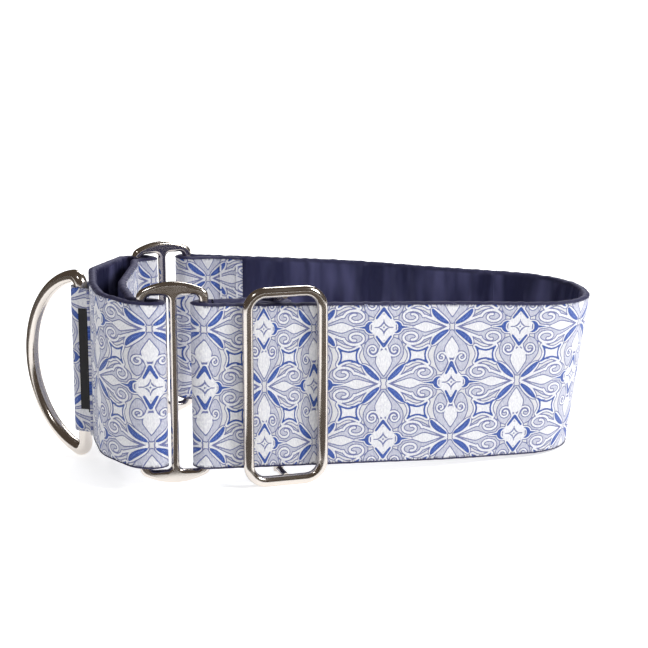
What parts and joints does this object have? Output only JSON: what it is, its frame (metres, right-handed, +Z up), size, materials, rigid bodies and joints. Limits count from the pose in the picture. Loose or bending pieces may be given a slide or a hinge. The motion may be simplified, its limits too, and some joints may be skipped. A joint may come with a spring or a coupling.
{
  "type": "martingale collar",
  "caption": "Wide fabric-covered martingale dog collar with a control loop, leash ring, slides and length adjuster.",
  "frame": {"origin": "middle of the collar's footprint, on the surface it stands on", "axes": "+Z up across the strap's width, +X from the leash ring towards the far bend of the neck loop, +Y from the adjuster's side to the plain side"},
  "size_m": [0.1795, 0.0947, 0.0622],
  "materials": {
    "ribbon": "woven ribbon, off-white with blue figures, slightly glossy",
    "webbing": "nylon webbing, matte",
    "satin": "navy satin, soft sheen",
    "label": "plain black woven label",
    "thread": "polyester sewing thread",
    "nickel": "polished nickel plate"
  },
  "bodies": {
    "strap_back": {"back_webbing": "webbing", "back_ribbon": "ribbon", "back_lining": "satin", "fold_stitches": "thread"},
    "control_loop": {"loop_tip_webbing": "webbing", "loop_tip_ribbon": "ribbon", "loop_tip_lining": "satin", "loop_front_leg_webbing": "webbing", "loop_front_leg_ribbon": "ribbon", "loop_front_leg_lining": "satin", "loop_back_leg_webbing": "webbing", "loop_back_leg_ribbon": "ribbon", "loop_back_leg_lining": "satin", "keeper": "ribbon", "label": "label", "keeper_stitches": "thread"},
    "strap_front": {"front_webbing": "webbing", "front_ribbon": "ribbon", "front_lining": "satin", "bend_webbing": "webbing", "bend_ribbon": "ribbon", "bend_lining": "satin", "loop_inner_leg_webbing": "webbing", "loop_inner_leg_ribbon": "ribbon", "loop_inner_leg_lining": "satin", "return_webbing": "webbing", "return_ribbon": "ribbon", "return_lining": "satin", "return_stitches": "thread"},
    "leash_ring": {"leash_ring": "nickel"},
    "front_slide": {"front_slide": "nickel"},
    "back_slide": {"back_slide": "nickel"},
    "adjuster": {"adjuster": "nickel"}
  },
  "joints": [
    {"name": "loop_draw", "type": "slide", "parent": "strap_back", "child": "control_loop", "axis": [-0.9615, 0.2749, 0], "range_m": [0, 0.01287], "deforming": ["loop_front_leg_webbing", "loop_front_leg_ribbon", "loop_front_leg_lining", "loop_back_leg_webbing", "loop_back_leg_ribbon", "loop_back_leg_lining", "loop_inner_leg_webbing", "loop_inner_leg_ribbon", "loop_inner_leg_lining", "bend_webbing", "bend_ribbon", "bend_lining"]},
    {"name": "front_close", "type": "slide", "parent": "control_loop", "child": "strap_front", "axis": [0.5176, 0.8556, 0], "range_m": [0, 0.02392]},
    {"name": "ring_swing", "type": "hinge", "parent": "control_loop", "child": "leash_ring", "pos_m": [-0.06837, -0.01033, 0.031], "axis": [0, 0, 1], "range_deg": [-30, 110]},
    {"name": "adjuster_slip", "type": "slide", "parent": "strap_front", "child": "adjuster", "axis": [0.9541, 0.2953, -0.0496], "range_m": [-0.003, 0.036], "deforming": ["return_webbing", "return_ribbon", "return_lining", "return_stitches"]},
    {"name": "front_slide_turn", "type": "hinge", "parent": "strap_front", "child": "front_slide", "pos_m": [-0.02797, -0.04051, 0.03], "axis": [0, 0, 1], "range_deg": [-3, 3]},
    {"name": "back_slide_turn", "type": "hinge", "parent": "strap_back", "child": "back_slide", "pos_m": [-0.03988, 0.03898, 0.03], "axis": [0, 0, 1], "range_deg": [-3, 3]}
  ],
  "couplings": [
    {"joint": "front_close", "follows": "loop_draw", "ratio": 1.8576}
  ]
}
